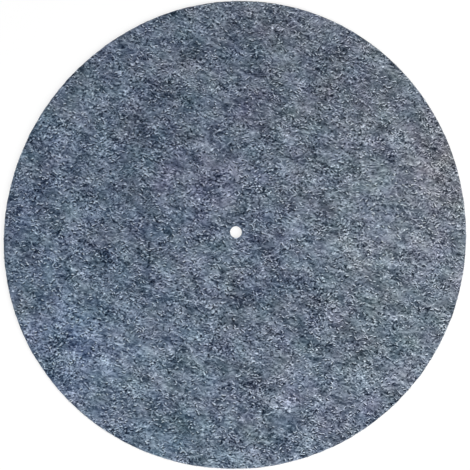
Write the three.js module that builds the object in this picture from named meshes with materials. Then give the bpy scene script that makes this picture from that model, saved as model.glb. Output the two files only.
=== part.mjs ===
// A turntable platter mat: one flat disc of soft grey felt, with a round hole for the spindle.
// Millimetres, +Z up. The origin is on the hole's axis, at the underside that lies on the platter.
// Seen from above, +X points right and +Y points away.

import * as THREE from 'three';

// Driving dimensions
const matDiameter = 295; // mean of the diameters in all directions
const matThickness = 3;
const holeDiameter = 7.5; // slides freely over a spindle of 7.2
const rimEdgeRadius = 0.8; // softened edge of the cut, above and below
const holeEdgeRadius = 0.5; // the same around the hole

// Felt gives under the cutter, so the rim isn't a true circle: it has one long axis and three shallow lobes.
const longAxisBulge = 1.7; // how far both ends of the long axis stand outside the mean circle
const longAxisAngle = 66; // degrees from +X towards +Y
const lobeBulge = 0.7; // how far the middle of each lobe stands outside the mean circle
const lobeAngle = 79; // degrees from +X towards +Y, to the middle of one lobe

// Surface
const feltColour = 0x66727f;
const feltRoughness = 0.95;

// Fineness of the facets
const sidesAround = 144;
const stepsPerHalfEdge = 2; // a softened edge gets twice as many

const rimRadius = matDiameter / 2;
const holeRadius = holeDiameter / 2;

// Two softened edges share one cut wall, so neither is larger than half of it.
function softEdge(edgeRadius) {
  return Math.min(edgeRadius, matThickness / 2);
}

// The section in the half plane of radius and height, counter-clockwise from the underside's inner end.
function sectionPoints() {
  const rimEdge = softEdge(rimEdgeRadius);
  const holeEdge = softEdge(holeEdgeRadius);
  const quarter = Math.PI / 2;
  const section = new THREE.Path();
  section.moveTo(holeRadius + holeEdge, 0);
  section.lineTo(rimRadius - rimEdge, 0);
  section.absarc(rimRadius - rimEdge, rimEdge, rimEdge, -quarter, 0);
  section.absarc(rimRadius - rimEdge, matThickness - rimEdge, rimEdge, 0, quarter);
  section.absarc(holeRadius + holeEdge, matThickness - holeEdge, holeEdge, quarter, 2 * quarter);
  section.absarc(holeRadius + holeEdge, holeEdge, holeEdge, 2 * quarter, 3 * quarter);
  const points = section.getPoints(stepsPerHalfEdge);
  points[points.length - 1] = points[0].clone(); // closes without a rounding error
  return points;
}

// How far the rim lies outside the mean circle in one direction.
function rimBulge(direction) {
  const fromLongAxis = direction - THREE.MathUtils.degToRad(longAxisAngle);
  const fromLobe = direction - THREE.MathUtils.degToRad(lobeAngle);
  return longAxisBulge * Math.cos(2 * fromLongAxis) + lobeBulge * Math.cos(3 * fromLobe);
}

// Draws a turned disc out of round: fully at the rim, less towards the middle, and not at all at the hole.
function drawOutOfRound(geometry) {
  const position = geometry.attributes.position;
  for (let i = 0; i < position.count; i += 1) {
    const x = position.getX(i);
    const y = position.getY(i);
    const radius = Math.hypot(x, y);
    const share = (radius - holeRadius) / (rimRadius - holeRadius);
    const stretch = 1 + (share * rimBulge(Math.atan2(y, x))) / radius;
    position.setX(i, x * stretch);
    position.setY(i, y * stretch);
  }
  geometry.computeVertexNormals();
}

function makeFeltMat() {
  const geometry = new THREE.LatheGeometry(sectionPoints(), sidesAround);
  geometry.rotateX(Math.PI / 2); // the lathe turns about Y
  drawOutOfRound(geometry);
  const felt = new THREE.MeshStandardMaterial({ color: feltColour, roughness: feltRoughness, metalness: 0 });
  const mesh = new THREE.Mesh(geometry, felt);
  mesh.name = 'felt_mat';
  return mesh;
}

const platterMat = new THREE.Group();
platterMat.add(makeFeltMat());

export default platterMat;
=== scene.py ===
import math
from collections import namedtuple

import bpy
import numpy as np
from mathutils import Matrix, Vector, noise


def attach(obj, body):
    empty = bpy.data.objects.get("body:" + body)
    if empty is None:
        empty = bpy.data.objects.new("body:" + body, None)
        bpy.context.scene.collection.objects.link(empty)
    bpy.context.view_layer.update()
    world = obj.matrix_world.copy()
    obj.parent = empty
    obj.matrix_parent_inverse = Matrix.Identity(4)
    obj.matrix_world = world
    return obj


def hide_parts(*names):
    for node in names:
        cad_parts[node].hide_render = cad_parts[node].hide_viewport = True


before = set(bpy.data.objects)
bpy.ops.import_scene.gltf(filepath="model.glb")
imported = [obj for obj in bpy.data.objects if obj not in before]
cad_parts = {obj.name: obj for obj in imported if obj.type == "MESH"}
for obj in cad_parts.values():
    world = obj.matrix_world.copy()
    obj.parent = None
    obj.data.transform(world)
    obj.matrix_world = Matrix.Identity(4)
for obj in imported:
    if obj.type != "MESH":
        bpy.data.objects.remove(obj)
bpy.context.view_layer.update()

MM = 0.001
QUARTER = math.pi / 2
DIRECTION_DIGITS = 3  # of a radian, to which points of the CAD rim count as one direction

# The camera looks almost straight down, from a little nearer the mat's lower edge in the picture.
CAMERA_DISTANCE = 700 * MM
CAMERA_TILT = math.radians(4.6)
CAMERA_TURN = math.radians(-5.3)
CAMERA_LENS = 84.73
CAMERA_AIM = Vector((-0.62, -2.05, 3.0)) * MM
CAMERA_CLIPS = (0.01, 100.0)

# Light: an even white sky, a large lamp to the right of the mat and a weak one to the left.
SKY_STRENGTH = 0.42
KEY_LAMP = {
    "place": Vector((470, -270, 540)) * MM,
    "size": 450 * MM,
    "watts": 4.0,
}
FILL_LAMP = {
    "place": Vector((-420, -260, 480)) * MM,
    "size": 400 * MM,
    "watts": 0.67,
}

# The floor: its grey for light, and the glow that makes it white to the camera. The glow grows between two
# distances from the mat's middle, in metres, as the lamps' light falls off.
FLOOR_WHITE = 0.27
FLOOR_GLOW = 0.79
FAR_FLOOR_GLOW = 0.89
FLOOR_NEAR = 0.3
FLOOR_FAR = 1.8
FLOOR_REACH = 30.0
FLOOR_DROP = 0.05 * MM

# The body's mesh: how many points the rings of the rim and the hole have, and the steps along the section.
RIM_SIDES = 768
HOLE_SIDES = 48
UNDERSIDE_SHARE = 0.5  # of the points that a ring on top would have
TOP_STEP = 1.15 * MM
UNDERSIDE_STEP = 2.6 * MM
WALL_STEPS = 4
EDGE_STEPS = 3
RIM_EDGE = 0.8 * MM
HOLE_EDGE = 0.5 * MM

# The nap's relief: waves of three sizes, drawn out along the way the felt was combed.
NAP_HEADING = math.radians(-11)
NAP_STRETCH = 1.9
RELIEF = ((9.0 * MM, 0.07 * MM), (3.6 * MM, 0.09 * MM), (1.9 * MM, 0.08 * MM))
WALL_ROUGHNESS = 2.5  # how many times as rough as the faces the cut walls are
WALL_LIMIT = 0.5  # the outward direction of a wall's point rises or falls by less than this

# Tufts and fibres of the nap. Length, half width, half height and arch are in millimetres. Bend is the turn
# over the whole length, and spread is how far headings scatter to both sides. They and the fuzz's lean are
# in degrees.
LIGHT_TUFTS = {
    "count": 8000,
    "length": (2.0, 5.5),
    "width": (0.15, 0.30),
    "height": 0.05,
    "arch": 0.06,
    "bend": 30,
    "spread": 54,
    "points": 5,
    "path_seed": 11,
    "shape_seed": 21,
}
DARK_TUFTS = {
    "count": 8000,
    "length": (1.8, 4.6),
    "width": (0.15, 0.31),
    "height": 0.05,
    "arch": 0.03,
    "bend": 30,
    "spread": 56,
    "points": 5,
    "path_seed": 12,
    "shape_seed": 22,
}
BRIGHT_TUFTS = {
    "count": 3000,
    "length": (1.4, 3.0),
    "width": (0.24, 0.36),
    "height": 0.06,
    "arch": 0.09,
    "bend": 25,
    "spread": 50,
    "points": 4,
    "path_seed": 16,
    "shape_seed": 24,
}
# Strands of painted shadow: near-black, one beside each bright tuft, along the same paths.
PAINTED_SHADOW_TUFTS = {**BRIGHT_TUFTS, "width": (0.37, 0.57), "arch": 0.05, "shape_seed": 25}
PAINTED_SHADOW_AWAY = 0.75 * MM  # from a bright tuft to its strand of painted shadow beside it
FIBRES = {
    "count": 6500,
    "length": (3.0, 9.0),
    "width": (0.03, 0.06),
    "height": 0.04,
    "arch": 0.2,
    "bend": 80,
    "spread": 70,
    "points": 5,
    "path_seed": 13,
    "shape_seed": 23,
}
RIM_FUZZ = {
    "count": 6000,
    "length": (0.5, 1.6),
    "width": (0.025, 0.045),
    "bend": 100,
    "lean": (8, 45),
    "points": 4,
    "seed": 14,
}
HOLE_FUZZ = {
    "count": 160,
    "length": (0.3, 0.9),
    "width": (0.02, 0.035),
    "bend": 80,
    "lean": (8, 40),
    "points": 4,
    "seed": 15,
}
STRAND_EDGES = (math.pi / 2, math.pi * 7 / 6, math.pi * 11 / 6)  # where the edges lie round a strand
STRAND_SIDES = len(STRAND_EDGES)
WAVE_PART = 3  # a strand's small waves are this part of its bend
LEAST_LIFT = 0.2  # of the arch
LEAST_NORM = 1e-9  # no vector is divided by less
SUNK = 0.05 * MM  # the ends of a lying strand
NEAREST_EDGE = RIM_EDGE / 8  # how near a lying strand comes to the rim or the hole
ROOT_SUNK = 0.2 * MM  # the roots of the fuzz
FUZZ_RISE = 0.35  # how steeply the fuzz rises or falls, as a standard deviation
FUZZ_PLAIN = 0.3  # where along its length a fibre of the fuzz has its plain lean
FUZZ_LOWEST = 0.1 * MM

# Strands lie thicker in some places: the cell of the noise for that, how many places are tried for each one
# that is kept, how much the noise counts beside chance, and up to what height its slice is taken.
CLUMP_CELL = 9.0 * MM
CLUMP_TRIES = 2
CLUMP_SHARE = 0.7
CLUMP_SLICES = 100.0

# Baking maps: the centre and radius of the disc for the upper side and the cut walls, and of the
# underside's, and the margin in a strand's cell.
UPPER_DISC = (0.375, 0.37)
UNDER_DISC = (0.80, 0.195)
CELL_MARGIN = 0.12

# Felt tones: the middle tone and the step to the next one, in display values of 0 to 255. A display value
# becomes a linear one by the usual curve, a power of the value with a small offset.
MIDDLE_TONE = (100.3, 112.8, 129.8)
TONE_STEP = 25.4
TONE_LIMITS = (-3.9, 5.1)
DISPLAY_WHITE = 255.0
DISPLAY_OFFSET = 0.055
DISPLAY_POWER = 2.4

# Layers of the felt's tone: cell in millimetres, stretch, heading in degrees, and weight in tone steps.
PATCH_LAYERS = ((12.5, 1.3, -40, 2.4), (6.5, 1.6, -36, 2.4), (3.0, 2.6, -14, 1.1))
STREAK_LAYERS = ((1.6, 3.2, -25, 3.3), (1.2, 2.8, -18, 3.4), (1.1, 2.5, 20, 2.8))
FLECK_LAYERS = ((0.9, 1.6, -8, 2.8), (0.75, 1.9, 42, 5.6), (0.75, 1.7, -36, 4.4))

# Layers that make the streaks and flecks stronger in some places and weaker in others. Their weights are
# shares of the plain strength, and so is the least.
STREAK_STRENGTH = ((8.0, 1.3, -20, 1.2),)
FLECK_STRENGTH = ((2.0, 1.5, -20, 3.5), (10.0, 1.3, 30, 3.0))
LEAST_STRENGTH = 0.3

# Slow noise moves the streaks and flecks about, so that they curl: its cell and its reach.
STREAK_CURL_CELL = 5.0 * MM
STREAK_CURL = 2.4 * MM

# A fleck is multiplied by the first of the extremes, plus the second for each tone step that it has. The
# darkening is how many tone steps a fleck of one step loses, so that the dark ones go further.
EXTREMES = (0.35, 0.45)
DARKENING = 0.17

# The felt's tint drifts slowly in soft patches, and the slope paints light across it, cool at the lower left
# and warm at the upper right. Both tints are in tone steps of red, green and blue, and the slope, layers and
# patches say how much of one is added.
WARM = (0.58, 0.03, -0.65)
# painted light: a tint that grows warmer towards the upper right across the whole mat
PAINTED_LIGHT_SLOPE = (1.7, 0.4, 0.0)  # a metre
ROSY = (0.26, -0.21, 0.22)
WARM_LAYERS = ((22.0, 1.2, 20, 0.33), (9.0, 1.2, -30, 0.38))
ROSY_LAYERS = ((22.0, 1.2, 20, 0.60), (9.0, 1.2, -30, 0.72))

# Soft patches in the felt: x and y of the middle and reach in millimetres, and what the middle gets, in
# tone steps for the light ones.
LIGHT_PATCHES = (
    (-50, 52, 60, -0.37),
    (-135, 30, 40, -0.14),
    (0, 138, 50, -0.32),
    (-78, 96, 45, -0.26),
    (-80, -32, 34, -0.16),
    (8, 4, 120, -0.12),
    (4, -44, 60, -0.29),
    (112, 22, 60, 0.45),
    (90, -20, 32, 0.32),
    (35, 30, 34, 0.26),
    (-92, -78, 54, 0.17),
    (-35, -17, 20, 0.34),
    (77, 66, 22, 0.13),
    (52, -94, 26, 0.15),
)
WARM_PATCHES = (
    (-95, -68, 50, -0.20),
    (-44, -124, 50, -0.08),
    (145, 45, 64, 0.30),
    (112, -62, 60, 0.04),
    (25, -20, 44, -0.12),
)
ROSY_PATCHES = (
    (-20, 36, 44, 0.28),
    (7, 84, 26, 0.2),
    (145, 45, 56, 0.2),
    (-44, -124, 56, -0.3),
    (48, -112, 50, 0.15),
    (104, -54, 70, -0.17),
)
PATCH_CURL_CELL = 30 * MM
PATCH_CURL = 22 * MM

# Seeds of the noise. The layers of a list take the ones after the list's, in order. A layer is moved by
# its seed times the shift, in metres. The two noises that curl things use theirs as the fourth coordinate.
SEED_SHIFT = (0.37, 0.91, 0.53)
PATCH_SEED = 1
STREAK_SEED = 4
FLECK_SEED = 6
WARM_SEED = 20
ROSY_SEED = 30
STREAK_STRENGTH_SEED = 40
FLECK_STRENGTH_SEED = 50
STREAK_CURL_SEED = 3.0
PATCH_CURL_SEED = 7.0
STRAND_SEED = 5.0

# Strand tones: the middle one and how far they go to both sides, in tone steps.
LIGHT_STRANDS = (2.75, 1.5)
DARK_STRANDS = (-3.0, 0.8)
BRIGHT_STRANDS = (5.0, 0.1)
# strands of painted shadow beside the bright tufts, near black
PAINTED_SHADOW_STRANDS = (-3.85, 0.05)

# A strand's tone follows noise of this cell and stretch, between the two values of the noise.
STRAND_CELL = 1.4 * MM
STRAND_STRETCH = 1.5
STRAND_NOISE = (-0.1125, 0.1375)

# The felt's finish
BODY_ROUGHNESS = 0.95
STRAND_ROUGHNESS = 0.9
BUMP_STRENGTH = 0.6
BUMP_DEPTH = 0.03 * MM
FINISH = {
    "Specular IOR Level": 0.1,
    "Sheen Weight": 0.2,
    "Sheen Roughness": 0.5,
    "Sheen Tint": (0.55, 0.72, 1.0, 1.0),
}

Ring = namedtuple("Ring", "radius height out sides")  # out is the outward direction in the section


def read_cad_mat():
    """The rim's radius by direction, the hole's radius and the thickness, from the CAD solid."""
    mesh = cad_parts["felt_mat"].data
    corners = np.empty(len(mesh.vertices) * 3, np.float32)
    mesh.vertices.foreach_get("co", corners)
    corners = corners.reshape(-1, 3).astype(float)
    radius = np.hypot(corners[:, 0], corners[:, 1])
    outer = radius > radius.max() / 2
    direction = np.arctan2(corners[outer, 1], corners[outer, 0]).round(DIRECTION_DIGITS)
    directions, which = np.unique(direction, return_inverse=True)
    rim = np.zeros(len(directions))
    np.maximum.at(rim, which, radius[outer])
    return directions, rim, radius.min(), corners[:, 2].max()


rim_directions, rim_radii, hole_radius, thickness = read_cad_mat()


def rim_radius(direction):
    """The rim's radius in each direction."""
    return np.interp(direction, rim_directions, rim_radii, period=2 * math.pi)


def hole_wall(direction):
    """The hole's radius, the same in each direction."""
    return np.full(len(direction), hole_radius)


class Nodes:
    """A shader node tree, with short calls to add, set and link nodes."""

    def __init__(self, owner):
        owner.use_nodes = True
        self.tree = owner.node_tree
        self.tree.nodes.clear()

    def put(self, kind, inputs=None, **settings):
        node = self.tree.nodes.new("ShaderNode" + kind)
        for name, value in settings.items():
            setattr(node, name, value)
        for key, value in (inputs or {}).items():
            if isinstance(value, bpy.types.NodeSocket):
                self.tree.links.new(value, node.inputs[key])
            else:
                node.inputs[key].default_value = value
        return node

    def place(self):
        """The point in the object's own frame."""
        return self.put("TexCoord").outputs["Object"]

    def math(self, operation, first, second=0.0, third=0.0):
        return self.put("Math", {0: first, 1: second, 2: third}, operation=operation).outputs[0]

    def vector(self, operation, *values):
        """The vector that a vector operation makes of the values."""
        return self.put("VectorMath", dict(enumerate(values)), operation=operation).outputs["Vector"]

    def measure(self, operation, *values):
        """The number that a vector operation makes of the values."""
        return self.put("VectorMath", dict(enumerate(values)), operation=operation).outputs["Value"]

    def scale(self, vector, factor):
        return self.put("VectorMath", {0: vector, "Scale": factor}, operation="SCALE").outputs["Vector"]

    def remap(self, value, low, high, at_low, at_high, curve="LINEAR"):
        """The value brought from the first range to the second, and held within it."""
        ranges = {0: value, 1: low, 2: high, 3: at_low, 4: at_high}
        return self.put("MapRange", ranges, interpolation_type=curve).outputs[0]

    def total(self, values):
        result = values[0]
        for value in values[1:]:
            result = self.math("ADD", result, value)
        return result


def noise_layer(nodes, point, cell, stretch, heading, seed, detail=0.0):
    """Noise with cells of that size, drawn out along a heading, with its middle at 0."""
    placed = nodes.put(
        "Mapping",
        {
            "Vector": point,
            "Location": tuple(seed * shift for shift in SEED_SHIFT),
            "Rotation": (0.0, 0.0, heading),
            "Scale": (cell * stretch, cell, cell),
        },
        vector_type="TEXTURE",
    )
    cells = nodes.put(
        "TexNoise",
        {"Vector": placed.outputs[0], "Scale": 1.0, "Detail": detail},
        noise_dimensions="3D",
    )
    return nodes.math("SUBTRACT", cells.outputs[0], 0.5)


def layered(nodes, point, layers, seed):
    """The sum of noise layers, each with its cell, stretch, heading and weight."""
    parts = []
    for cell, stretch, heading, weight in layers:
        seed += 1
        layer = noise_layer(nodes, point, cell * MM, stretch, math.radians(heading), seed)
        parts.append(nodes.math("MULTIPLY", layer, weight))
    return nodes.total(parts)


def curled(nodes, point, cell, reach, seed):
    """The point moved about by slow noise, so that what is drawn there curls."""
    drift = nodes.put(
        "TexNoise",
        {"Vector": point, "W": seed, "Scale": 1.0 / cell, "Detail": 1.0},
        noise_dimensions="4D",
    )
    centred = nodes.vector("SUBTRACT", drift.outputs[1], (0.5, 0.5, 0.5))
    return nodes.vector("ADD", point, nodes.scale(centred, reach))


def patchy(nodes, point, patches):
    """The sum of soft round patches, each with its place, reach and weight."""
    parts = []
    for x, y, reach, weight in patches:
        away = nodes.measure("DISTANCE", point, (x * MM, y * MM, thickness))
        parts.append(nodes.remap(away, 0.0, reach * MM, weight, 0.0, curve="SMOOTHSTEP"))
    return nodes.total(parts)


def uneven(nodes, point, values, layers, seed):
    """The values made stronger in some places and weaker in others."""
    strength = nodes.math("ADD", layered(nodes, point, layers, seed), 1.0)
    return nodes.math("MULTIPLY", values, nodes.math("MAXIMUM", strength, LEAST_STRENGTH))


def with_extremes(nodes, values):
    """The values with small ones made smaller and large ones larger, and the dark ones most of all."""
    gain = nodes.math("MULTIPLY_ADD", nodes.math("ABSOLUTE", values), EXTREMES[1], EXTREMES[0])
    tilted = nodes.math("MULTIPLY_ADD", values, -DARKENING, gain)
    return nodes.math("MULTIPLY", values, tilted)


def felt_tone(nodes, point):
    """How light the felt is at a point, in tone steps."""
    moved = curled(nodes, point, STREAK_CURL_CELL, STREAK_CURL, STREAK_CURL_SEED)
    patches = layered(nodes, point, PATCH_LAYERS, PATCH_SEED)
    streaks = layered(nodes, moved, STREAK_LAYERS, STREAK_SEED)
    flecks = with_extremes(nodes, layered(nodes, moved, FLECK_LAYERS, FLECK_SEED))
    some_streaks = uneven(nodes, point, streaks, STREAK_STRENGTH, STREAK_STRENGTH_SEED)
    some_flecks = uneven(nodes, point, flecks, FLECK_STRENGTH, FLECK_STRENGTH_SEED)
    return nodes.total([patches, some_streaks, some_flecks])


def felt_tint(nodes, point, moved):
    """The felt's slow drift of tint, with painted cool and warm light across it, in tone steps of red, green
    and blue.
    """
    # painted light: cooler towards the lower left, warmer towards the upper right
    painted_light_tint = nodes.measure("DOT_PRODUCT", point, PAINTED_LIGHT_SLOPE)
    warm_layers = layered(nodes, point, WARM_LAYERS, WARM_SEED)
    warmth_and_painted_light = nodes.total([painted_light_tint, warm_layers, patchy(nodes, moved, WARM_PATCHES)])
    rosy_layers = layered(nodes, point, ROSY_LAYERS, ROSY_SEED)
    rosiness = nodes.total([rosy_layers, patchy(nodes, moved, ROSY_PATCHES)])
    return nodes.vector("ADD", nodes.scale(WARM, warmth_and_painted_light), nodes.scale(ROSY, rosiness))


def display_curve(value):
    """What the display curve's power is taken of, for a display value of 0 to 255."""
    return (value / DISPLAY_WHITE + DISPLAY_OFFSET) / (1 + DISPLAY_OFFSET)


def felt_colour(nodes, point, steps):
    """The felt's colour at a number of tone steps, with its soft patches, its slow drift of tint and its
    painted cool and warm light.
    """
    moved = curled(nodes, point, PATCH_CURL_CELL, PATCH_CURL, PATCH_CURL_SEED)
    held = nodes.put("Clamp", {0: steps, 1: TONE_LIMITS[0], 2: TONE_LIMITS[1]}).outputs[0]
    grey = nodes.math("ADD", held, patchy(nodes, moved, LIGHT_PATCHES))
    channels = nodes.vector("ADD", felt_tint(nodes, point, moved), grey)
    one_step = (display_curve(TONE_STEP) - display_curve(0.0),) * 3
    middle = tuple(display_curve(channel) for channel in MIDDLE_TONE)
    black = (display_curve(0.0),) * 3
    white = (display_curve(DISPLAY_WHITE),) * 3
    shown = nodes.vector("MULTIPLY_ADD", channels, one_step, middle)
    within = nodes.vector("MINIMUM", nodes.vector("MAXIMUM", shown, black), white)
    return nodes.put("Gamma", {"Color": within, "Gamma": DISPLAY_POWER}).outputs[0]


def finish_material(nodes, colour, roughness, more):
    """Ends a felt material with its shader, which takes more inputs as well."""
    inputs = {"Base Color": colour, "Roughness": roughness, **FINISH, **more}
    shader = nodes.put("BsdfPrincipled", inputs)
    nodes.put("OutputMaterial", {"Surface": shader.outputs[0]})


def felt_material():
    material = bpy.data.materials.new("felt")
    nodes = Nodes(material)
    point = nodes.place()
    steps = felt_tone(nodes, point)
    bump = nodes.put("Bump", {"Height": steps, "Strength": BUMP_STRENGTH, "Distance": BUMP_DEPTH})
    colour = felt_colour(nodes, point, steps)
    finish_material(nodes, colour, BODY_ROUGHNESS, {"Normal": bump.outputs[0]})
    return material


def strand_material(name, tones):
    """Felt fibres of about one tone, each a little lighter or darker along its length."""
    material = bpy.data.materials.new(name)
    nodes = Nodes(material)
    point = nodes.place()
    middle, spread = tones
    plain = middle - math.copysign(spread, middle)
    strong = middle + math.copysign(spread, middle)
    change = noise_layer(nodes, point, STRAND_CELL, STRAND_STRETCH, NAP_HEADING, STRAND_SEED, detail=1.0)
    steps = nodes.remap(change, *STRAND_NOISE, plain, strong)
    finish_material(nodes, felt_colour(nodes, point, steps), STRAND_ROUGHNESS, {})
    return material


def add_object(name, points, faces, material):
    mesh = bpy.data.meshes.new(name)
    mesh.from_pydata(points, [], faces)
    mesh.materials.append(material)
    thing = bpy.data.objects.new(name, mesh)
    bpy.context.scene.collection.objects.link(thing)
    return thing


def shade_smooth(mesh):
    mesh.polygons.foreach_set("use_smooth", [True] * len(mesh.polygons))


def edge_drop(inward, edge):
    """How far a softened edge lies below the flat face, at a distance in from the wall."""
    short = np.clip(edge - inward, 0.0, edge)
    return edge - np.sqrt(edge**2 - short**2)


def relief(points):
    """The nap's height at each point, in metres, about 0 on average."""
    along = np.array((math.cos(NAP_HEADING), math.sin(NAP_HEADING), 0.0))
    squeezed = points - np.outer(points @ along, along) * (1 - 1 / NAP_STRETCH)
    height = np.zeros(len(points))
    for cell, depth in RELIEF:
        scaled = squeezed / cell
        height += depth * np.array([noise.noise(Vector(p)) for p in scaled])
    return height


class Rings:
    """A closed surface of rings of points. Each has as many as the last, twice as many or half as many."""

    def __init__(self):
        self.points = []
        self.faces = []
        self.starts = []
        self.counts = []

    def add(self, points):
        self.starts.append(sum(self.counts))
        self.counts.append(len(points))
        self.points.append(points)

    def join(self, first, second):
        """Fills the strip between two rings. From outside, the second lies to the right of the first."""
        a, b = self.starts[first], self.starts[second]
        n, m = self.counts[first], self.counts[second]
        for i in range(min(n, m)):
            if n == m:
                j = (i + 1) % n
                self.faces.append((a + i, b + i, b + j, a + j))
            elif m == 2 * n:
                j = (i + 1) % n
                k = (2 * i + 2) % m
                self.faces.append((a + i, b + 2 * i, b + 2 * i + 1))
                self.faces.append((a + i, b + 2 * i + 1, a + j))
                self.faces.append((a + j, b + 2 * i + 1, b + k))
            else:
                j = (i + 1) % m
                k = (2 * i + 2) % n
                self.faces.append((a + 2 * i, b + i, a + 2 * i + 1))
                self.faces.append((a + 2 * i + 1, b + i, b + j))
                self.faces.append((a + 2 * i + 1, b + j, a + k))


def sides_at(radius, mean_rim, share):
    """How many points a ring has: a share of the rim's number, halved each time that the radius halves."""
    sides = RIM_SIDES * share
    reach = mean_rim
    while radius < reach / 2 and sides > HOLE_SIDES:
        sides //= 2
        reach /= 2
    return int(max(sides, HOLE_SIDES))


def face_rings(start, end, step, height, up, mean_rim, share):
    """Rings of a flat face, without the two at its ends."""
    count = round(abs(end - start) / step)
    rings = []
    for k in range(1, count):
        radius = start + (end - start) * k / count
        rings.append(Ring(radius, height, (0.0, up), sides_at(radius, mean_rim, share)))
    return rings


def edge_rings(radius, height, edge, start, sides):
    """Rings of a softened edge: a quarter turn about a radius and height, clockwise in the section."""
    rings = []
    for k in range(EDGE_STEPS + 1):
        turn = start - QUARTER * k / EDGE_STEPS
        out = (math.cos(turn), math.sin(turn))
        rings.append(Ring(radius + edge * out[0], height + edge * out[1], out, sides))
    return rings


def wall_rings(radius, start, end, outward, sides):
    """Rings of a cut wall between two heights, without the two at its ends."""
    rings = []
    for k in range(1, WALL_STEPS):
        rings.append(Ring(radius, start + (end - start) * k / WALL_STEPS, (outward, 0.0), sides))
    return rings


def felt_section(mean_rim):
    """The rings from the top over the rim and the underside to the hole, and the place of the rim's last."""
    inner = hole_radius + HOLE_EDGE
    outer = mean_rim - RIM_EDGE
    top = face_rings(inner, outer, TOP_STEP, thickness, 1.0, mean_rim, 1)
    rim = [
        *edge_rings(outer, thickness - RIM_EDGE, RIM_EDGE, QUARTER, RIM_SIDES),
        *wall_rings(mean_rim, thickness - RIM_EDGE, RIM_EDGE, 1.0, RIM_SIDES),
        *edge_rings(outer, RIM_EDGE, RIM_EDGE, 0.0, RIM_SIDES),
    ]
    underside = face_rings(outer, inner, UNDERSIDE_STEP, 0.0, -1.0, mean_rim, UNDERSIDE_SHARE)
    hole = [
        *edge_rings(inner, HOLE_EDGE, HOLE_EDGE, -QUARTER, HOLE_SIDES),
        *wall_rings(hole_radius, HOLE_EDGE, thickness - HOLE_EDGE, -1.0, HOLE_SIDES),
        *edge_rings(inner, thickness - HOLE_EDGE, HOLE_EDGE, 2 * QUARTER, HOLE_SIDES),
    ]
    return top + rim + underside + hole, len(top) + len(rim) - 1


def drawn_rings(section, mean_rim):
    """The section's rings with the rim's true outline, and the outward direction at each point."""
    rings = Rings()
    outward = []
    for radius, height, out, sides in section:
        direction = np.arange(sides) * 2 * math.pi / sides
        share = (radius - hole_radius) / (mean_rim - hole_radius)
        drawn = radius + share * (rim_radius(direction) - mean_rim)
        across = np.column_stack([np.cos(direction), np.sin(direction)])
        rings.add(np.column_stack([across * drawn[:, None], np.full(sides, height)]))
        outward.append(np.column_stack([across * out[0], np.full(sides, out[1])]))
    for k in range(len(section)):
        rings.join(k, (k + 1) % len(section))
    return rings, np.concatenate(outward)


def with_nap(points, outward):
    """The points with the nap's relief. The underside's goes inwards only, and the walls are rougher."""
    height = relief(points)
    under = outward[:, 2] < -WALL_LIMIT
    height[under] = -np.abs(height[under])
    height[np.abs(outward[:, 2]) < WALL_LIMIT] *= WALL_ROUGHNESS
    raised = points + outward * height[:, None]
    raised[:, 2] = np.maximum(raised[:, 2], 0.0)
    return raised


def body_map(mesh, section, last_rim_ring):
    """The body's baking map: a disc for the upper side and the cut walls, and one for the underside."""
    radius = np.array([ring.radius for ring in section])
    height = np.array([ring.height for ring in section])
    leaps = np.hypot(radius - np.roll(radius, -1), height - np.roll(height, -1))
    travelled = np.concatenate([[0.0], np.cumsum(leaps)])
    outward = radius[0] + travelled[:-1]
    inward = radius[0] - (travelled[-1] - travelled[:-1])
    reach = np.where(np.arange(len(section)) > last_rim_ring, inward, outward)

    counts = [ring.sides for ring in section]
    ring_of = np.repeat(np.arange(len(section)), counts)
    turn_of = np.concatenate([np.arange(count) * 2 * math.pi / count for count in counts])
    corners = np.empty(len(mesh.loops), np.int32)
    mesh.loops.foreach_get("vertex_index", corners)
    sizes = np.empty(len(mesh.polygons), np.int32)
    mesh.polygons.foreach_get("loop_total", sizes)
    face_of = np.repeat(np.arange(len(sizes)), sizes)
    on_floor = height[ring_of[corners]] == 0.0
    low = np.bincount(face_of, on_floor) == sizes
    under = low[face_of]

    upper_scale = UPPER_DISC[1] / outward[last_rim_ring]
    under_scale = UNDER_DISC[1] / radius[last_rim_ring]
    ring = ring_of[corners]
    away = np.where(under, radius[ring] * under_scale, reach[ring] * upper_scale)
    middle = np.where(under, UNDER_DISC[0], UPPER_DISC[0])
    turn = turn_of[corners]
    flat = np.column_stack([middle + away * np.cos(turn), middle + away * np.sin(turn)])
    mesh.uv_layers.new(name="OFBake").data.foreach_set("uv", flat.ravel())


def felt_body():
    """The felt as one closed mesh: fine rings on top, the cut rim and hole, and coarser rings below."""
    mean_rim = float(rim_radii.mean())
    section, last_rim_ring = felt_section(mean_rim)
    rings, outward = drawn_rings(section, mean_rim)
    points = with_nap(np.concatenate(rings.points), outward)
    piece = add_object("felt_body", points.tolist(), rings.faces, felt_material())
    shade_smooth(piece.data)
    body_map(piece.data, section, last_rim_ring)
    return piece


def strand_faces(count, inner):
    """The faces of closed strands, with that many rings between a strand's ends: triangles, then quads."""
    each = inner * STRAND_SIDES + 2
    last = 1 + (inner - 1) * STRAND_SIDES
    triangles = []
    quads = []
    for k in range(STRAND_SIDES):
        after = (k + 1) % STRAND_SIDES
        triangles.append((0, 1 + k, 1 + after))
        triangles.append((each - 1, last + after, last + k))
        for ring in range(inner - 1):
            low = 1 + ring * STRAND_SIDES
            high = low + STRAND_SIDES
            quads.append((low + k, high + k, high + after, low + after))
    first = np.arange(count)[:, None, None] * each
    faces = (first + np.array(triangles)[None]).reshape(-1, 3).tolist()
    return faces + (first + np.array(quads)[None]).reshape(-1, 4).tolist()


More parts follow.
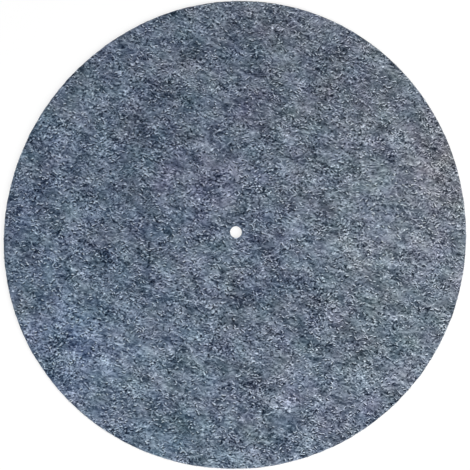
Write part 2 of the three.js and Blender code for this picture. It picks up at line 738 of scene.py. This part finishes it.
def strand_map(mesh, count, inner):
    """The strands' baking map: a square grid with one small cell a strand, in the order of its faces."""
    rings = inner + 1
    tips = []
    sides = []
    for k in range(STRAND_SIDES):
        tips.append(((0, k + 0.5), (1, k), (1, k + 1)))
        tips.append(((rings, k + 0.5), (rings - 1, k + 1), (rings - 1, k)))
        for ring in range(1, inner):
            sides.append(((ring, k), (ring + 1, k), (ring + 1, k + 1), (ring, k + 1)))
    cells = math.ceil(math.sqrt(count))
    corner = np.column_stack([np.arange(count) % cells, np.arange(count) // cells])
    flat = []
    for template in (tips, sides):
        share = np.array(template, float).reshape(-1, 2) / (rings, STRAND_SIDES)
        within = CELL_MARGIN + share * (1 - 2 * CELL_MARGIN)
        flat.append(((corner[:, None] + within[None]) / cells).ravel())
    mesh.uv_layers.new(name="OFBake").data.foreach_set("uv", np.concatenate(flat))


def strand_mesh(name, paths, half_width, half_height, material):
    """Closed strands with pointed ends along the paths, an array of strands by points by 3."""
    count, steps = paths.shape[:2]
    along = np.gradient(paths, axis=1)
    along /= np.linalg.norm(along, axis=2, keepdims=True)
    side = np.cross(along, (0.0, 0.0, 1.0))
    side /= np.maximum(np.linalg.norm(side, axis=2, keepdims=True), LEAST_NORM)
    over = np.cross(side, along)
    inner = steps - 2
    swell = np.sqrt(np.sin(math.pi * np.arange(1, steps - 1) / (steps - 1)))
    corners = []
    for turn in STRAND_EDGES:
        wide = side[:, 1:-1] * (math.cos(turn) * half_width[:, None] * swell)[..., None]
        high = over[:, 1:-1] * (math.sin(turn) * half_height[:, None] * swell)[..., None]
        corners.append(paths[:, 1:-1] + wide + high)
    rings = np.stack(corners, axis=2).reshape(count, inner * STRAND_SIDES, 3)
    points = np.concatenate([paths[:, :1], rings, paths[:, -1:]], axis=1)
    piece = add_object(name, points.reshape(-1, 3).tolist(), strand_faces(count, inner), material)
    shade_smooth(piece.data)
    strand_map(piece.data, count, inner)
    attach(piece, "root")
    return piece


def wander(random, start, heading, length, bend, steps):
    """Level paths with their middle at the start, which turn evenly by about the bend over their length."""
    count = len(start)
    turn = random.normal(0.0, math.radians(bend), count)
    wave = random.normal(0.0, math.radians(bend) / WAVE_PART, (count, steps - 1))
    share = (np.arange(steps - 1) + 0.5) / (steps - 1) - 0.5
    headings = heading[:, None] + turn[:, None] * share[None] + wave
    leaps = np.stack([np.cos(headings), np.sin(headings)], axis=2) * (length / (steps - 1))[:, None, None]
    path = np.concatenate([np.zeros((count, 1, 2)), np.cumsum(leaps, axis=1)], axis=1)
    return path - path.mean(axis=1, keepdims=True) + start[:, None]


def kept_on_top(path, margin):
    """The paths moved so that none passes the rim or reaches into the hole."""
    direction = np.arctan2(path[..., 1], path[..., 0])
    radius = np.hypot(path[..., 0], path[..., 1])
    over = np.maximum(radius - (rim_radius(direction) - margin), 0.0).max(axis=1)
    under = np.maximum(hole_radius + margin - radius, 0.0).max(axis=1)
    middle = path.mean(axis=1)
    away = middle / np.linalg.norm(middle, axis=1, keepdims=True)
    return path + (away * (under - over)[:, None])[:, None]


def clumped_places(random, count):
    """Places on the top face, thicker in some patches than in others."""
    tries = count * CLUMP_TRIES
    direction = random.uniform(0, 2 * math.pi, tries)
    share = np.sqrt(random.uniform((hole_radius / rim_radii.max()) ** 2, 1.0, tries))
    radius = rim_radius(direction) * share
    places = np.column_stack([radius * np.cos(direction), radius * np.sin(direction)])
    slice_height = random.uniform(0.0, CLUMP_SLICES)
    crowd = np.array([noise.noise(Vector((x, y, slice_height))) for x, y in places / CLUMP_CELL])
    rank = CLUMP_SHARE * crowd + random.uniform(-0.5, 0.5, tries)
    return places[np.argsort(-rank)[:count]]


def lying_paths(kind):
    """Level paths of strands on the top face, most of them roughly along the nap."""
    random = np.random.default_rng(kind["path_seed"])
    count = kind["count"]
    start = clumped_places(random, count)
    spread = math.radians(kind["spread"])
    heading = NAP_HEADING + random.uniform(-spread, spread, count)
    length = random.uniform(*kind["length"], count) * MM
    return wander(random, start, heading, length, kind["bend"], kind["points"])


def beside(paths, away):
    """The paths moved sideways, each to its own right."""
    along = paths[:, -1] - paths[:, 0]
    along /= np.linalg.norm(along, axis=1, keepdims=True)
    right = np.column_stack([along[:, 1], -along[:, 0]])
    return paths + (right * away)[:, None]


def lying_strands(name, paths, kind, material):
    """Strands that lie on the top face, their ends sunk in the nap."""
    random = np.random.default_rng(kind["shape_seed"])
    count, steps = paths.shape[:2]
    path = kept_on_top(paths, NEAREST_EDGE)
    arch = np.sin(np.linspace(0, math.pi, steps))
    lift = random.uniform(LEAST_LIFT, 1.0, count) * kind["arch"] * MM
    level = np.concatenate([path, np.full(path.shape[:2] + (1,), thickness)], axis=2)
    height = relief(level.reshape(-1, 3)).reshape(count, steps)
    radius = np.hypot(path[..., 0], path[..., 1])
    rim = rim_radius(np.arctan2(path[..., 1], path[..., 0]))
    drop = edge_drop(rim - radius, RIM_EDGE) + edge_drop(radius - hole_radius, HOLE_EDGE)
    level[..., 2] += height + lift[:, None] * arch - SUNK * (1 - arch) - drop
    half_width = random.uniform(*kind["width"], count) * MM
    return strand_mesh(name, level, half_width, np.full(count, kind["height"] * MM), material)


def edge_fuzz(name, radius_at, outward, edge, kind, material):
    """Short fibres that stand out of a cut wall with softened edges, most of them leaning along it."""
    random = np.random.default_rng(kind["seed"])
    count = kind["count"]
    steps = kind["points"]
    lowest = edge / 2
    highest = thickness - edge / 4
    direction = random.uniform(0, 2 * math.pi, count)
    height = random.uniform(lowest, highest, count)
    lean = np.radians(random.uniform(*kind["lean"], count))
    hand = random.choice((-1.0, 1.0), count)
    rise = random.normal(0.0, FUZZ_RISE, count)
    turn = random.normal(0.0, math.radians(kind["bend"]), count)
    length = random.uniform(*kind["length"], count) * MM
    across = np.column_stack([np.cos(direction), np.sin(direction), np.zeros(count)]) * outward
    along = np.column_stack([-np.sin(direction), np.cos(direction), np.zeros(count)]) * hand[:, None]
    up = np.array((0.0, 0.0, 1.0))
    recess = edge_drop(np.minimum(height, thickness - height), edge) + ROOT_SUNK
    wall = across * outward * radius_at(direction)[:, None] - across * recess[:, None]
    position = wall + up * height[:, None]
    path = [position]
    for k in range(steps - 1):
        angle = lean + turn * (k / (steps - 1) - FUZZ_PLAIN)
        heading = across * np.sin(angle)[:, None] + along * np.cos(angle)[:, None] + up * rise[:, None]
        position = position + heading * (length / (steps - 1))[:, None]
        path.append(position)
    paths = np.stack(path, axis=1)
    paths[..., 2] = np.maximum(paths[..., 2], FUZZ_LOWEST)
    half_width = random.uniform(*kind["width"], count) * MM
    return strand_mesh(name, paths, half_width, half_width, material)


def seen_rays(nodes):
    """1 for rays that show the background: from the camera, a gloss or a clear surface."""
    path = nodes.put("LightPath")
    either = nodes.math("MAXIMUM", path.outputs["Is Camera Ray"], path.outputs["Is Glossy Ray"])
    return nodes.math("MAXIMUM", either, path.outputs["Is Transmission Ray"])


def floor_material():
    material = bpy.data.materials.new("floor_white")
    nodes = Nodes(material)
    diffuse = nodes.put("BsdfDiffuse", {"Color": (FLOOR_WHITE, FLOOR_WHITE, FLOOR_WHITE, 1.0)})
    away = nodes.measure("LENGTH", nodes.place())
    strength = nodes.remap(away, FLOOR_NEAR, FLOOR_FAR, FLOOR_GLOW, FAR_FLOOR_GLOW)
    glow = nodes.put("Emission", {"Strength": nodes.math("MULTIPLY", seen_rays(nodes), strength)})
    both = nodes.put("AddShader", {0: diffuse.outputs[0], 1: glow.outputs[0]})
    nodes.put("OutputMaterial", {"Surface": both.outputs[0]})
    return material


def add_floor():
    ends = ((-1, -1), (1, -1), (1, 1), (-1, 1))
    corners = [(x * FLOOR_REACH, y * FLOOR_REACH, -FLOOR_DROP) for x, y in ends]
    floor = add_object("floor", corners, [(0, 1, 2, 3)], floor_material())


def add_sky():
    world = bpy.data.worlds.new("sky")
    bpy.context.scene.world = world
    nodes = Nodes(world)
    light = nodes.put("Background", {"Color": (1.0, 1.0, 1.0, 1.0), "Strength": SKY_STRENGTH})
    white = nodes.put("Background", {"Color": (1.0, 1.0, 1.0, 1.0), "Strength": 1.0})
    mixed = nodes.put("MixShader", {0: seen_rays(nodes), 1: light.outputs[0], 2: white.outputs[0]})
    nodes.put("OutputWorld", {"Surface": mixed.outputs[0]})


def add_lamp(name, kind):
    data = bpy.data.lights.new(name, "AREA")
    data.shape = "SQUARE"
    data.size = kind["size"]
    data.energy = kind["watts"]
    lamp = bpy.data.objects.new(name, data)
    lamp.location = kind["place"]
    lamp.rotation_mode = "QUATERNION"
    lamp.rotation_quaternion = (-kind["place"]).to_track_quat("-Z", "Y")
    lamp.visible_camera = False
    bpy.context.scene.collection.objects.link(lamp)


def add_camera():
    data = bpy.data.cameras.new("camera")
    data.lens = CAMERA_LENS
    data.clip_start, data.clip_end = CAMERA_CLIPS
    camera = bpy.data.objects.new("camera", data)
    bpy.context.scene.collection.objects.link(camera)
    reach = math.sin(CAMERA_TILT)
    away = (math.sin(CAMERA_TURN) * reach, -math.cos(CAMERA_TURN) * reach, math.cos(CAMERA_TILT))
    back = Vector(away)
    right = Vector((0.0, 1.0, 0.0)).cross(back).normalized()
    up = back.cross(right)
    place = Matrix.Translation(CAMERA_AIM + back * CAMERA_DISTANCE)
    camera.matrix_world = place @ Matrix((right, up, back)).transposed().to_4x4()
    bpy.context.scene.camera = camera


add_camera()
add_sky()
add_lamp("key_lamp", KEY_LAMP)
add_lamp("fill_lamp", FILL_LAMP)
add_floor()

body = felt_body()
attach(body, "root")
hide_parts("felt_mat")

light_fibres = strand_material("light_fibres", LIGHT_STRANDS)
dark_fibres = strand_material("dark_fibres", DARK_STRANDS)
bright_fibres = strand_material("bright_fibres", BRIGHT_STRANDS)
painted_shadow_fibres = strand_material("painted_shadow_fibres", PAINTED_SHADOW_STRANDS)
bright_paths = lying_paths(BRIGHT_TUFTS)
# painted shadow: a dark strand beside each bright tuft
painted_shadow_paths = beside(bright_paths, PAINTED_SHADOW_AWAY)
fibres = [
    lying_strands("light_tufts", lying_paths(LIGHT_TUFTS), LIGHT_TUFTS, light_fibres),
    lying_strands("dark_tufts", lying_paths(DARK_TUFTS), DARK_TUFTS, dark_fibres),
    lying_strands("bright_tufts", bright_paths, BRIGHT_TUFTS, bright_fibres),
    lying_strands("painted_tuft_shadows", painted_shadow_paths, PAINTED_SHADOW_TUFTS, painted_shadow_fibres),
    lying_strands("loose_fibres", lying_paths(FIBRES), FIBRES, light_fibres),
    edge_fuzz("rim_fuzz", rim_radius, 1.0, RIM_EDGE, RIM_FUZZ, light_fibres),
    edge_fuzz("hole_fuzz", hole_wall, -1.0, HOLE_EDGE, HOLE_FUZZ, light_fibres),
]

bpy.context.scene.view_settings.view_transform = "Standard"
